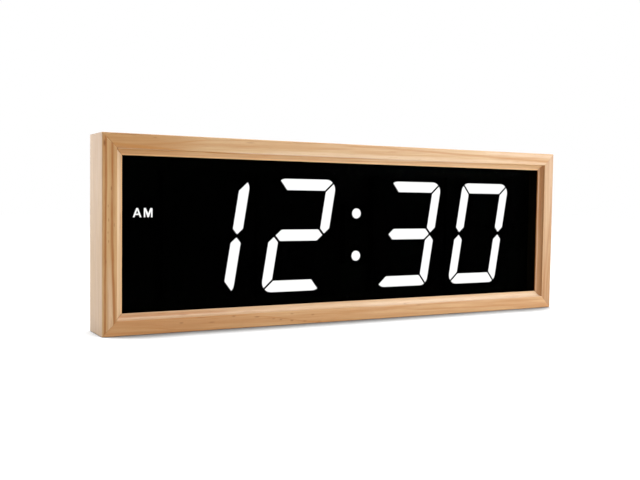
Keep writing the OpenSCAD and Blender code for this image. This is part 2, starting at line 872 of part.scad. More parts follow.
module rear_cover() {
  color("#1c1c1e") difference() {
    union() {
      difference() {
        union() {
          difference() {
            slab(ledge_v, cover_t) translate([0, frame_h/2])
              rounded_rect(frame_w - 2*(rim_w + cover_clear), frame_h - 2*(rim_w + cover_clear), cover_r);
            slab(ledge_v - past, cover_t + 2*past) bay_rect(0);
          }
          slab(floor_in_v, ledge_v - floor_in_v) difference() {
            bay_rect(bay_wall);
            bay_rect(0);
          }
          slab(floor_in_v, bay_wall) bay_rect(0);
        }
        door_opening();
        rod([door_x, hinge_z - door_l - door_clear], floor_v - scoop_d, scoop_d + past, scoop_r);
      }
      for (at = post_at) rod(at, rear_v, ledge_v - rear_v, post_r);
      hinge_lugs();
      door_stop();
    }
    keyholes();
    vents();
    sound_holes();
    cover_screw_holes();
    for (at = post_at) rod(at, rear_v - past, screw_reach + 2*past, screw_r + pilot_clear);
    for (x = button_x) rod([x, bay_z], floor_in_v - past, bay_wall + 2*past, button_r + button_clear);
    rod([jack_x, bay_z], floor_in_v - past, bay_wall + 2*past, jack_r + jack_clear);
    cross_rod(door_x, hinge_v, hinge_z, door_w + 2*(door_clear + lug_w) + 2*past, pin_r + lug_clear);
  }
}

// Countersunk screws with a cross recess, flush with the cover
module cover_screws() {
  color("silver") for (at = cover_screw_at) difference() {
    union() {
      rod(at, ledge_v - cover_screw_reach, cover_screw_reach + cover_t - cover_head_t, screw_r);
      cone(at, cover_back_v - cover_head_t, cover_head_t, screw_r, cover_head_r);
    }
    for (turn = [0, 90]) slab(cover_back_v - cover_head_t/2, cover_head_t) translate(at) rotate(turn)
      square([cover_head_r, recess_w], center = true);
  }
}

module battery_door() {
  low = hinge_z - door_l;
  color("#1c1c1e") difference() {
    union() {
      slab(floor_v - door_t, door_t) translate([door_x - door_w/2, low]) square([door_w, door_l]);
      cross_rod(door_x, hinge_v, hinge_z, door_w, knuckle_r);
      slab(floor_v, grip_rise) translate([door_x - grip_w/2, low + grip_h]) square([grip_w, grip_h]);
    }
    cross_rod(door_x, hinge_v, hinge_z, door_w + 2*past, pin_r + knuckle_clear);
  }
}

module door_hinge_pin() {
  color("silver") cross_rod(door_x, hinge_v, hinge_z, door_w + 2*(door_clear + lug_w), pin_r);
}

frame_rail_top();
frame_rail_bottom();
frame_stile_left();
frame_stile_right();
corner_keys();
lens_tape();
front_lens();
digit_housing(0);  // hour_tens_housing
lit_bars(0);  // hour_tens_lit_bars
dark_bars(0);  // hour_tens_dark_bars
digit_housing(1);  // hour_units_housing
lit_bars(1);  // hour_units_lit_bars
dark_bars(1);  // hour_units_dark_bars
digit_housing(2);  // minute_tens_housing
lit_bars(2);  // minute_tens_lit_bars
dark_bars(2);  // minute_tens_dark_bars
digit_housing(3);  // minute_units_housing
lit_bars(3);  // minute_units_lit_bars
dark_bars(3);  // minute_units_dark_bars
colon_housing();
colon_dots();
am_pm_housing();
am_letters();
pm_letters();
display_board();
bar_leds();
housing_screws();
ir_receiver();
controller_chip();
driver_chips();
clock_crystal();
alarm_buzzer();
filter_capacitor();
dc_power_jack();
dc_jack_pin();
coin_cell_holder();
coin_cell();
coin_cell_clip();
switch_bodies();
rear_cover();
cover_screws();
board_screws();
battery_door();
door_hinge_pin();
button(0);  // set_button
switch_plunger(0);  // set_plunger
button(1);  // up_button
switch_plunger(1);  // up_plunger
button(2);  // down_button
switch_plunger(2);  // down_plunger
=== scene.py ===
"""Looks of the wall clock: lacquered mitred frame, smoked lens, lit numerals, and a moulded rear cover."""
import math

import bmesh
import bpy
import numpy as np
from mathutils import Matrix, Vector


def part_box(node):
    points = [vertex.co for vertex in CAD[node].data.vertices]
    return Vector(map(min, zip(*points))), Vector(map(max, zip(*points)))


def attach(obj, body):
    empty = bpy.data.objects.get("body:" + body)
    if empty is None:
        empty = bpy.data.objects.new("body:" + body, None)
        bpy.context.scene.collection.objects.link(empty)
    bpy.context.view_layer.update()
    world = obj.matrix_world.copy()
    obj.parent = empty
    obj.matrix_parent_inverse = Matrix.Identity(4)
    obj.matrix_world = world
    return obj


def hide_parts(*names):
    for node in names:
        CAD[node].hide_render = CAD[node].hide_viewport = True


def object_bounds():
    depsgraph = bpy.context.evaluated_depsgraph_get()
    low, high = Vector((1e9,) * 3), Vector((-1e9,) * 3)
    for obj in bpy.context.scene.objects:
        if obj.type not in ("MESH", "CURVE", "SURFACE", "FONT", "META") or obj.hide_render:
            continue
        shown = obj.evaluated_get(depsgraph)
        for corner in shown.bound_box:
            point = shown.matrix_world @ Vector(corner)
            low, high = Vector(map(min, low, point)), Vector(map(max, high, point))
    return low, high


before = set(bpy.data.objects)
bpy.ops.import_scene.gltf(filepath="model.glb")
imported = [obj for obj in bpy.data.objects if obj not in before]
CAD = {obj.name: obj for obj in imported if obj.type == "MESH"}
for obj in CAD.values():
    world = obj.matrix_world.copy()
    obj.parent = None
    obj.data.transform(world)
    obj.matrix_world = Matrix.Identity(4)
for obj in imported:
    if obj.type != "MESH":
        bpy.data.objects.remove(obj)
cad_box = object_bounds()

MM = 0.001
SCENE = bpy.context.scene

# Sizes of the whole clock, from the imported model's box
FRAME_LOW, FRAME_HIGH = (np.array(corner) for corner in cad_box)
FRAME_W, _, FRAME_H = FRAME_HIGH - FRAME_LOW
FRONT_Y = FRAME_LOW[1]

# Moulding, from the outer edge in and from the front back: the corners of its section and the radius of each
MOULDING = np.array([
    (0, 0), (12.1, 0), (12.1, 4.6), (17.3, 4.6), (17.3, 5.8),
    (11, 5.8), (11, 35), (4, 35), (4, 38), (0, 38)]) * MM
MOULDING_RADII = np.array([0.8, 0.3, 4.2, 0.35, 0.15, 0.1, 0.2, 0.1, 0.3, 0.8]) * MM
MOULDING_STEPS = 14

# Fine groove where two sides meet, and the sections of a side beyond it
GROOVE_DEPTH = 0.16 * MM
GROOVE_REACH = 0.45 * MM
GROOVE_STEPS = 6
PAST_GROOVE = np.array([1, 3]) * MM
RUN_SHARE = 0.96
RUN_STEPS = 41

# Keys in the bay on the rear cover
BAY_FLOOR = FRONT_Y + 30 * MM
KEY_STEM_R = 1.5 * MM
KEY_FLANGE_R = 5 * MM
KEY_CAP_R = 3.6 * MM
KEY_STEM_L = 0.9 * MM
KEY_FLANGE_T = 1.2 * MM
KEY_RADII = np.array([0, 0.2, 0.1, 0.25, 0.25, 0.1, 0.6, 0]) * MM
KEY_STEPS = 8
KEY_DISH_R = 2.7 * MM
KEY_DISH = 0.35 * MM
KEY_DISH_STEPS = 9

# Raised marks below the keys
MARK_DROP = 10.5 * MM
MARK_RISE = 0.3 * MM
MARK_ROOT = 0.1 * MM
MARK_SCALES = np.array([1, 1, 0.97, 0.9])
MARK_HEIGHTS = np.array([-MARK_ROOT, 0.7 * MARK_RISE, 0.93 * MARK_RISE, MARK_RISE])
TRIANGLE_REACH = 2.4 * MM
TRIANGLE_BULGE = 0.22
TRIANGLE_POINT = 0.05
RING_REACH = 1.9 * MM
RING_BEAD = 0.35 * MM

# Edges between faces that meet at more than this angle stay sharp
SHARP_EDGE = math.radians(35)


def eased(corners, radii, steps):
    """Closed outline with round corners, and its outward normals.

    Every corner is a right angle. The middle of its arc lies one radius back along the side that comes in
    and one radius on along the side that goes out, and the arc is a quarter circle about it. The normal
    points away from the middle at a corner that juts out, and towards it at one that is hollow.
    """
    radii = radii[:, None, None]
    side = corners - np.roll(corners, 1, axis=0)
    side /= np.linalg.norm(side, axis=1, keepdims=True)
    onward = np.roll(side, -1, axis=0)
    ahead = np.roll(corners, -1, axis=0)
    area = np.sum(corners[:, 0] * ahead[:, 1] - ahead[:, 0] * corners[:, 1])
    turn = side[:, 0] * onward[:, 1] - side[:, 1] * onward[:, 0]
    angle = np.linspace(0, math.pi / 2, steps)[None, :, None]
    spoke = side[:, None] * np.sin(angle) - onward[:, None] * np.cos(angle)
    middle = corners[:, None] + radii * (onward - side)[:, None]
    points = middle + radii * spoke
    normals = spoke * np.sign(turn * area)[:, None, None]
    return points.reshape(-1, 2), normals.reshape(-1, 2)


def ring_quads(rings, count, loop=False):
    """Quads between rings of as many points each, stored ring by ring; the last meets the first in a loop."""
    ring = np.arange(rings if loop else rings - 1)[:, None]
    here = np.arange(count)[None, :]
    after = (here + 1) % count
    first = ring * count
    second = (ring + 1) % rings * count
    quads = np.stack([first + here, first + after, second + after, second + here], axis=-1)
    return quads.reshape(-1, 4).tolist()


def tube_faces(rings, count):
    """Faces of a tube: the quads between its rings, and one flat face at each end."""
    return ring_quads(rings, count) + [list(range(count)), list(range((rings - 1) * count, rings * count))]


def solid(name, points, faces, material, body):
    """Closed shell from points and faces, with its faces turned outwards and its sharp edges kept."""
    mesh = bpy.data.meshes.new(name)
    mesh.from_pydata(points.reshape(-1, 3).tolist(), [], faces)
    shell = bmesh.new()
    shell.from_mesh(mesh)
    bmesh.ops.recalc_face_normals(shell, faces=shell.faces)
    shell.to_mesh(mesh)
    shell.free()
    mesh.shade_smooth()
    mesh.set_sharp_from_angle(angle=SHARP_EDGE)
    mesh.materials.append(material)
    piece = bpy.data.objects.new(name, mesh)
    SCENE.collection.objects.link(piece)
    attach(piece, body)
    return piece


def mitred_rail(name, node, length, place, material):
    """One side of the frame: the moulding's outline carried along it.

    At a share s of the way from the middle to a mitre, a point that is d in from the outer edge lies s times
    half the length less d along the side, so both ends meet their mitres. Close to an end the outline sinks
    along its normal by the groove's depth times the square of the share of the groove's reach that is left,
    which leaves a fine line where two sides meet.
    """
    outline, normal = eased(MOULDING, MOULDING_RADII, MOULDING_STEPS)
    from_end = np.concatenate([np.linspace(0, GROOVE_REACH, GROOVE_STEPS), PAST_GROOVE])
    share = 1 - from_end / (length / 2)
    share = np.concatenate([-share, np.linspace(-RUN_SHARE, RUN_SHARE, RUN_STEPS), share[::-1]])
    left = np.clip(1 - (1 - np.abs(share)) * length / 2 / GROOVE_REACH, 0, 1)
    section = outline[None] - normal[None] * (GROOVE_DEPTH * left**2)[:, None, None]
    inset, depth = section[..., 0], section[..., 1]
    along = share[:, None] * (length / 2 - inset)
    points = place(along, inset, FRONT_Y + depth)
    piece = solid(name, points, tube_faces(*inset.shape), material, "clock")
    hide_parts(node)


def turned(name, outline, at, material, body, spokes=48):
    """Outline of radius and depth turned about a line along Y through at; its two ends are poles on the line.

    A point at radius r and angle a lies r times the cosine of a to the side and r times the sine of a up.
    """
    radius, depth = outline[1:-1, 0], outline[1:-1, 1]
    angle = np.arange(spokes) * (2 * math.pi / spokes)
    x = at[0] + radius[:, None] * np.cos(angle)
    z = at[1] + radius[:, None] * np.sin(angle)
    y = np.broadcast_to(depth[:, None], x.shape)
    rings = np.stack([x, y, z], axis=-1).reshape(-1, 3)
    poles = np.array([[at[0], outline[0, 1], at[1]], [at[0], outline[-1, 1], at[1]]])
    count = len(rings)
    here = np.arange(spokes)
    after = (here + 1) % spokes
    last = count - spokes
    faces = ring_quads(len(radius), spokes)
    faces += np.stack([after, here, np.full(spokes, count)], axis=-1).tolist()
    faces += np.stack([last + here, last + after, np.full(spokes, count + 1)], axis=-1).tolist()
    return solid(name, np.concatenate([rings, poles]), faces, material, body)


def key_cap(name, node, body, material):
    """Setting key: stem, flange and cap turned from one outline, with a shallow dish in the top.

    In the dish the depth falls by a constant times one less the square of the radius over the dish's radius.
    Returns the key's place across and up.
    """
    low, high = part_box(node)
    front, back = low.y, high.y
    flange = front + KEY_STEM_L
    neck = flange + KEY_FLANGE_T
    corners = np.array([
        (0, front), (KEY_STEM_R, front), (KEY_STEM_R, flange), (KEY_FLANGE_R, flange), (KEY_FLANGE_R, neck),
        (KEY_CAP_R, neck), (KEY_CAP_R, back), (0, back)])
    side, _ = eased(corners, KEY_RADII, KEY_STEPS)
    radius = np.linspace(KEY_DISH_R, 0, KEY_DISH_STEPS)
    dish = np.stack([radius, back - KEY_DISH * (1 - (radius / KEY_DISH_R) ** 2)], axis=-1)
    outline = np.concatenate([side[KEY_STEPS - 1:-KEY_STEPS], dish])
    middle = ((low.x + high.x) / 2, (low.z + high.z) / 2)
    piece = turned(name, outline, middle, material, body)
    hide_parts(node)
    return middle


def raised_mark(name, outline, at, material):
    """Moulded mark on the bay's floor: an outline that stands straight up and then draws in to a flat top.

    Each ring is the outline scaled about its own middle, by one at the root and a little less at the top.
    """
    x = at[0] + MARK_SCALES[:, None] * outline[:, 0]
    z = at[1] + MARK_SCALES[:, None] * outline[:, 1]
    y = np.broadcast_to(BAY_FLOOR + MARK_HEIGHTS[:, None], x.shape)
    points = np.stack([x, y, z], axis=-1)
    solid(name, points, tube_faces(*x.shape), material, "clock")


def round_triangle(reach, way, steps=36):
    """Triangle with round corners that points up where way is 1 and down where it is -1.

    The radius at angle a is one, plus a bulge times the cosine of three times a, plus a point times the
    cosine of six times a, all scaled so that the largest radius is the reach.
    """
    angle = np.arange(steps) * (2 * math.pi / steps)
    wave = 1 + TRIANGLE_BULGE * np.cos(3 * angle) + TRIANGLE_POINT * np.cos(6 * angle)
    radius = reach * wave / wave.max()
    return np.stack([radius * np.sin(angle), way * radius * np.cos(angle)], axis=-1)


def bead_ring(name, reach, bead, at, material, spokes=40, steps=14):
    """Raised ring on the bay's floor: a round bead carried in a circle about the line of its key.

    At an angle b round the bead, the radius is the reach plus the bead times the cosine of b, and the height
    is the mark's rise times the sine of b.
    """
    angle = np.arange(spokes)[:, None] * (2 * math.pi / spokes)
    around = np.arange(steps)[None, :] * (2 * math.pi / steps)
    radius = reach + bead * np.cos(around)
    x = at[0] + radius * np.cos(angle)
    z = at[1] + radius * np.sin(angle)
    y = np.broadcast_to(BAY_FLOOR + MARK_RISE * np.sin(around), x.shape)
    points = np.stack([x, y, z], axis=-1)
    solid(name, points, ring_quads(spokes, steps, loop=True), material, "clock")


class Graph:
    """A tree of shader nodes, and short ways to add to it."""

    def __init__(self, tree):
        self.tree = tree

    def node(self, kind, settings=None, numbered=None, **named):
        """New node with its settings, and its inputs fed by number or by name."""
        made = self.tree.nodes.new("ShaderNode" + kind)
        for setting, value in (settings or {}).items():
            setattr(made, setting, value)
        for number, value in (numbered or {}).items():
            self.feed(made.inputs[number], value)
        for name, value in named.items():
            self.feed(made.inputs[name.replace("_", " ")], value)
        return made

    def feed(self, socket, value):
        """Links an output to a socket, or sets it to a plain value; a colour of three numbers is opaque."""
        if isinstance(value, bpy.types.NodeSocket):
            self.tree.links.new(value, socket)
        elif socket.type == "RGBA" and len(value) == 3:
            socket.default_value = (*value, 1)
        else:
            socket.default_value = value

    def calc(self, kind, first, second=0.0, third=0.0):
        """Result of one arithmetic step on numbers."""
        return self.node("Math", {"operation": kind}, {0: first, 1: second, 2: third}).outputs["Value"]

    def apart(self, first, second):
        """Distance between two numbers."""
        return self.calc("ABSOLUTE", self.calc("SUBTRACT", first, second))

    def span(self, value, low, high, to_low, to_high, kind="LINEAR"):
        """Value carried from one range to another, and held at its ends."""
        return self.node("MapRange", {"interpolation_type": kind, "clamp": True}, Value=value, From_Min=low,
                         From_Max=high, To_Min=to_low, To_Max=to_high).outputs["Result"]

    def ease(self, value, low, high, to_low, to_high):
        """Value carried from one range to another on a curve that is level at both ends."""
        return self.span(value, low, high, to_low, to_high, "SMOOTHSTEP")

    def seen_directly(self):
        """One for what the camera sees, also by mirror or through glass, and zero for the light it gives."""
        ray = self.node("LightPath").outputs
        open_view = self.calc("MAXIMUM", ray["Is Camera Ray"], ray["Is Glossy Ray"])
        return self.calc("MAXIMUM", open_view, ray["Is Transmission Ray"])


# Values that most of a noise lies between, and the samples of an edge that is rounded in the shader
NOISE_LOW, NOISE_HIGH = 0.3, 0.7
EDGE_SAMPLES = 6


class Finish(Graph):
    """A material: one Principled shader, and the texture nodes that feed it from the piece's coordinates."""

    def __init__(self, name, **sockets):
        self.material = bpy.data.materials.new(name)
        self.material.use_nodes = True
        super().__init__(self.material.node_tree)
        self.shader = self.tree.nodes["Principled BSDF"]
        self.place = self.node("TexCoord").outputs["Object"]
        for socket, value in sockets.items():
            self.feed(self.shader.inputs[socket.replace("_", " ")], value)

    def moved(self, shift=(0, 0, 0), turn=(0, 0, 0), scale=(1, 1, 1), place=None):
        """Coordinates stretched, then turned, then shifted."""
        return self.node("Mapping", Vector=place or self.place, Location=shift, Rotation=turn,
                         Scale=scale).outputs["Vector"]

    def noise(self, scale, detail, roughness=0.55, place=None):
        """Noise of so many spots to a metre."""
        return self.node("TexNoise", Vector=place or self.place, Scale=scale, Detail=detail,
                         Roughness=roughness).outputs["Fac"]

    def drawn_noise(self, scale, detail, roughness=0.55, shift=(0, 0, 0), place=None):
        """Noise with its own number of spots to a metre along each axis."""
        return self.noise(1.0, detail, roughness, self.moved(shift=shift, scale=scale, place=place))

    def drift(self, noise, low, high):
        """Noise carried to a range of values."""
        return self.span(noise, NOISE_LOW, NOISE_HIGH, low, high)

    def ramp(self, value, stops):
        """Colour by value, from a list of places and colours."""
        made = self.node("ValToRGB", Fac=value)
        stop = made.color_ramp.elements
        while len(stop) < len(stops):
            stop.new(0.5)
        for one, (at, colour) in zip(stop, stops):
            one.position = at
            one.color = (*colour, 1)
        return made.outputs["Color"]

    def blend(self, share, first, second, kind="MIX"):
        """Mix of two colours; the node has its colours at inputs 6 and 7 and its result at output 2."""
        settings = {"data_type": "RGBA", "blend_type": kind, "clamp_factor": True}
        return self.node("Mix", settings, {0: share, 6: first, 7: second}).outputs[2]

    def colour(self, value):
        """Colour of the surface."""
        self.feed(self.shader.inputs["Base Color"], value)

    def rough(self, value):
        """Roughness of the surface."""
        self.feed(self.shader.inputs["Roughness"], value)

    def bump(self, height, strength, depth, edge=0.0):
        """Small relief; an edge above zero also rounds the look of sharp corners by that radius."""
        made = self.node("Bump", Height=height, Strength=strength, Distance=depth)
        if edge:
            bevel = self.node("Bevel", {"samples": EDGE_SAMPLES}, Radius=edge)
            self.feed(made.inputs["Normal"], bevel.outputs["Normal"])
        self.feed(self.shader.inputs["Normal"], made.outputs["Normal"])


def linear(red, green, blue):
    """Linear colour of an sRGB one in 0 to 255."""
    share = np.array([red, green, blue]) / 255
    return tuple(np.where(share <= 0.04045, share / 12.92, ((share + 0.055) / 1.055) ** 2.4).tolist())


# Wood: the colours that its tones lean to
WARM_END = (0.74, 0.56, 0.33)
# Pale tint of Sapwood, also laid as painted light: painted sheen on the outer side, painted bounce light in
# the cove, painted light on the lip
SAPWOOD_AND_PAINTED_LIGHT = linear(237, 213, 186)
FLECK = linear(134, 80, 26)
PORE = linear(140, 92, 52)

# Places on the moulding where one look passes into another, each from where to where
COVE_START = MOULDING[1, 0]
LIP_START = 20.9 * MM
STEP_FADE = COVE_START + np.array([-0.3, -0.1]) * MM
COVE_FADE = COVE_START + np.array([0, 0.6]) * MM
MITRE_SHADE_FADE = COVE_START + np.array([-0.5, 1.5]) * MM
LIP_FADE = LIP_START + np.array([-0.5, 0.2]) * MM
SIDE_FADE = np.array([0.1, 0.6]) * MM
MITRE_FADE = np.array([0.1, 0.7]) * MM

# Growth rings: how far the long noise bends them, the least they show, and how the late wood climbs in a ring
RING_BEND = 1.3
RING_LEAST = 0.1
LATE_WOOD = [(0, (0, 0, 0)), (0.35, (0.12, 0.12, 0.12)), (0.8, (1, 1, 1)), (1, (0, 0, 0))]

# Streaks: how far they waver, how long they fade at their ends, and the share of the width that is full
STREAK_WAVER = 1.4 * MM
STREAK_FADE = 18 * MM
STREAK_CORE = 0.2

# Noise that breaks the streaks up: its range, and the least of a streak that it leaves
PATCHY_RANGE, PATCHY_LEAST = (0.3, 0.6), 0.7

# Painted shade of the groove at the mitres: its strength on the flat band and in the cove
MITRE_SHADE_ON_BAND, MITRE_SHADE_IN_COVE = 0.1, 0.6

# Fine marks: the range of their noise over which they come or go, and the most of their tint that shows
SILK_RANGE, SILK_SHARE = (0.4, 0.7), 0.5
DASH_RANGE, DASH_SHARE = (0.62, 0.76), 0.4
FIBRE_RANGE, FIBRE_SHARE = (0.36, 0.66), 0.16
PORE_RANGE, PORE_SHARE = (0.62, 0.74), 0.2

# Fleck: the shares of its half sizes between which it fades
FLECK_RANGE = (0.2, 1.2)

# Lacquer: its roughness, the strength and depth of its relief, and the share of that in the pores
LACQUER_ROUGH = (0.34, 0.44)
LACQUER_RELIEF = 0.16
LACQUER_DEPTH = 0.08 * MM
PORE_DEPTH = 0.6


class Timber(Finish):
    """Satin-lacquered wood of one side of the frame, with its grain along X, or along Z where upright.

    A place on the moulding is its distance along the grain and its reach, both in mm: the reach is the
    distance in from the outer edge and, in the cove, the depth below the front as well. Each method lays one
    more look over the tone so far.
    """

    def __init__(self, name, upright, outer, pith, tilt, tones):
        super().__init__(name, IOR=1.5)
        self.pale, self.mid, self.dark = (linear(*tone) for tone in tones)
        self.length, self.middle = (FRAME_H, FRAME_H / 2) if upright else (FRAME_W, 0)
        self.grain = self.moved(turn=(0, math.pi / 2, 0) if upright else (0, 0, 0))
        lean = (0, math.radians(tilt[0]), math.radians(tilt[1]))
        self.leaned = self.moved(shift=pith, turn=lean, place=self.grain)
        axes = self.node("SeparateXYZ", Vector=self.grain).outputs
        self.along = axes["X"]
        self.inset = self.apart(axes["Z"], outer)
        in_cove = self.span(self.inset, *STEP_FADE, 0, 1)
        below_front = self.calc("SUBTRACT", axes["Y"], FRONT_Y)
        self.reach = self.calc("MULTIPLY_ADD", in_cove, below_front, self.inset)
        self.spot = self.node("CombineXYZ", X=self.along, Y=self.reach).outputs["Vector"]
        self.tone = self.mid

    def lay(self, share, tint, kind="MIX"):
        """Blends a share of a tint into the tone so far."""
        self.tone = self.blend(share, self.tone, tint, kind)

    def grain_noise(self, along, across, detail, roughness=0.55, shift=(0, 0, 0), place=None):
        """Noise drawn out along the grain, with its spots to a metre along it and across it."""
        return self.drawn_noise((along, across, across), detail, roughness, shift, place or self.grain)

    def rings(self, width, contrast):
        """Growth rings: circles about a pith line that runs almost with the grain.

        Their phase is the distance from the pith over the ring's width, bent by a long noise. The colour
        climbs slowly through a ring and drops at its end, and each ring has a random strength of its own.
        """
        wander = self.grain_noise(along=7, across=45, detail=2, roughness=0.5, place=self.leaned)
        split = self.node("SeparateXYZ", Vector=self.leaned).outputs
        across = self.calc("MULTIPLY", split["Y"], split["Y"])
        from_pith = self.calc("SQRT", self.calc("MULTIPLY_ADD", split["Z"], split["Z"], across))
        phase = self.calc("MULTIPLY_ADD", wander, RING_BEND, self.calc("MULTIPLY", from_pith, 1 / width))
        count = self.calc("FLOOR", phase)
        strength = self.node("TexWhiteNoise", {"noise_dimensions": "1D"}, W=count).outputs["Value"]
        late = self.ramp(self.calc("FRACT", phase), LATE_WOOD)
        broad = self.drift(self.grain_noise(along=9, across=70, detail=2), 0, 1)
        self.tone = self.ramp(broad, [(0, self.mid), (1, self.pale)])
        self.lay(self.calc("MULTIPLY", late, self.span(strength, 0, 1, RING_LEAST, contrast)), self.dark)

    def silk(self):
        """Silky lines between the rings."""
        lines = self.grain_noise(along=11, across=420, detail=4, roughness=0.6, place=self.leaned)
        self.lay(self.span(lines, *SILK_RANGE, 0, SILK_SHARE), self.dark)

    def warm_end(self, share, start, stop):
        """A warmer colour at one end of the grain, from a full share at start to none at stop."""
        self.lay(self.ease(self.along, start * MM, stop * MM, share, 0), WARM_END, "MULTIPLY")

    def cove(self, share, tint):
        """Painted light and shade in the cove: a paler tint stands in for sheen and bounce light, a darker,
        warmer one for shade.
        """
        self.lay(self.ease(self.reach, *COVE_FADE, 0, share), linear(*tint))

    def painted_side_sheen(self, share):
        """Painted sheen on the outer side: a pale tint that stands in for the lacquer's gloss seen at a
        grazing angle.
        """
        self.lay(self.ease(self.inset, *SIDE_FADE, share, 0), SAPWOOD_AND_PAINTED_LIGHT)

    def streaks(self, lines, tint):
        """Soft wavering lines, each from one place to another, with a width in mm and a strength."""
        waver = self.grain_noise(along=30, across=120, detail=3, roughness=0.6, shift=(2, 0, 0))
        centred = self.calc("SUBTRACT", self.reach, STREAK_WAVER / 2)
        wavered = self.calc("MULTIPLY_ADD", waver, STREAK_WAVER, centred)
        broken = self.grain_noise(along=70, across=900, detail=3, roughness=0.6, shift=(4, 2, 0))
        patchy = self.span(broken, *PATCHY_RANGE, PATCHY_LEAST, 1)
        for first, last, width, strength in lines:
            (start, start_reach), (stop, stop_reach) = np.array([first, last]) * MM
            line = self.ease(self.along, start, stop, start_reach, stop_reach)
            off = self.apart(wavered, line)
            sheet = self.ease(off, STREAK_CORE * width * MM, width * MM, strength, 0)
            begin = self.ease(self.along, start - STREAK_FADE, start + STREAK_FADE, 0, 1)
            cease = self.ease(self.along, stop - STREAK_FADE, stop + STREAK_FADE, 1, 0)
            ends = self.calc("MULTIPLY", begin, cease)
            self.lay(self.calc("MULTIPLY", self.calc("MULTIPLY", sheet, patchy), ends), tint)

    def lip(self, share, tint):
        """Painted light on the lip: a paler colour that stands in for the light it catches."""
        self.lay(self.ease(self.reach, *LIP_FADE, 0, share), linear(*tint))

    def mitre_shade_line(self):
        """Painted shade of the mitre groove: a thin dark line at the mitres, where the distance to the end of
        the side is the inset.
        """
        to_end = self.calc("SUBTRACT", self.length / 2, self.apart(self.along, self.middle))
        to_mitre = self.calc("SUBTRACT", to_end, self.inset)
        strength = self.ease(self.reach, *MITRE_SHADE_FADE, MITRE_SHADE_ON_BAND, MITRE_SHADE_IN_COVE)
        self.lay(self.calc("MULTIPLY", strength, self.ease(to_mitre, *MITRE_FADE, 1, 0)), FLECK)

    def fine_marks(self):
        """Dashes, fibres and pores along the grain, and the lacquer's gloss and relief over them."""
        dash = self.grain_noise(along=45, across=800, detail=2, shift=(5, 4, 1))
        self.lay(self.ease(dash, *DASH_RANGE, 0, DASH_SHARE), self.dark)
        fibre = self.grain_noise(along=30, across=1300, detail=4, roughness=0.6)
        self.lay(self.span(fibre, *FIBRE_RANGE, FIBRE_SHARE, 0), self.dark)
        pore = self.grain_noise(along=110, across=2600, detail=2, shift=(3, 1, 2))
        pits = self.ease(pore, *PORE_RANGE, 0, 1)
        self.lay(self.calc("MULTIPLY", pits, PORE_SHARE), PORE)
        sheen = self.grain_noise(along=25, across=160, detail=3)
        self.rough(self.drift(sheen, *LACQUER_ROUGH))
        relief = self.calc("SUBTRACT", fibre, self.calc("MULTIPLY", pits, PORE_DEPTH))
        self.bump(relief, LACQUER_RELIEF, LACQUER_DEPTH)

    def fleck(self, centre, half_length, half_width, strength):
        """Small dark oval about a place."""
        middle = (centre[0] * MM, centre[1] * MM, 0)
        size = (half_length * MM, half_width * MM, 1)
        near = self.node("VectorMath", {"operation": "SUBTRACT"}, {0: self.spot, 1: middle}).outputs["Vector"]
        near = self.node("VectorMath", {"operation": "DIVIDE"}, {0: near, 1: size}).outputs["Vector"]
        away = self.node("VectorMath", {"operation": "LENGTH"}, {0: near}).outputs["Value"]
        self.lay(self.ease(away, *FLECK_RANGE, strength, 0), FLECK)


def timber(name, upright, outer, pith, tilt, ring, tones, contrast, warm, cove=None, lip=None, side=0,
           streaks=(), sapwood_and_painted_light=(), flecks=()):
    """Wood of one side of the frame, with its looks laid one over another, painted light and shade among
    them.
    """
    wood = Timber(name, upright, outer, pith, tilt, tones)
    wood.rings(ring, contrast)
    wood.silk()
    wood.warm_end(*warm)
    # Painted light and shade in the cove
    if cove:
        wood.cove(*cove)
    if side:
        # Painted sheen on the outer side
        wood.painted_side_sheen(side)
    # Pale streaks: Sapwood, and painted light where it is noted at each side
    wood.streaks(sapwood_and_painted_light, SAPWOOD_AND_PAINTED_LIGHT)
    # Dark streaks: the wood's grain, and painted shade in the right stile's cove and on its sight wall
    wood.streaks(streaks, wood.dark)
    # Painted light on the lip
    if lip:
        wood.lip(*lip)
    # Painted shade along the mitre groove
    wood.mitre_shade_line()
    wood.fine_marks()
    for fleck in flecks:
        wood.fleck(*fleck)
    wood.colour(wood.tone)
    return wood.material


# Range of the mixed noise over which a plastic goes from its dark to its light, and the borders of a track
PLASTIC_RANGE = (0.35, 0.65)
TRACK_RANGE = (0.02, 0.06)


def moulded(name, colour, spread, rough, grain, relief, edge=0.3 * MM, **sockets):
    """Moulded plastic: a fine spark-eroded grain in the relief, and a slow drift of colour and gloss."""
    plastic = Finish(name, **sockets)
    slow = plastic.noise(scale=60, detail=3)
    fine = plastic.noise(scale=grain, detail=2)
    dark = tuple(c * (1 - spread) for c in colour)
    light = tuple(min(1, c * (1 + spread)) for c in colour)
    shade = plastic.calc("MULTIPLY_ADD", fine, 0.5, plastic.calc("MULTIPLY", slow, 0.5))
    plastic.colour(plastic.ramp(plastic.span(shade, *PLASTIC_RANGE, 0, 1), [(0, dark), (1, light)]))
    plastic.rough(plastic.drift(shade, *rough))
    plastic.bump(fine, relief, depth=0.1 * MM, edge=edge)
    return plastic.material


def metal(name, colour, rough, stretch, stained=0.82):
    """Drawn or stamped metal: fine lines along one axis in the gloss and the relief, and a slight stain."""
    steel = Finish(name, Metallic=1.0)
    lines = steel.drawn_noise(stretch, detail=3)
    stain = steel.drift(steel.noise(scale=350, detail=3), 0, 1)
    steel.colour(steel.ramp(stain, [(0, tuple(stained * c for c in colour)), (1, colour)]))
    steel.rough(steel.drift(lines, *rough))
    steel.bump(lines, strength=0.15, depth=0.05 * MM, edge=0.15 * MM)
    return steel.material


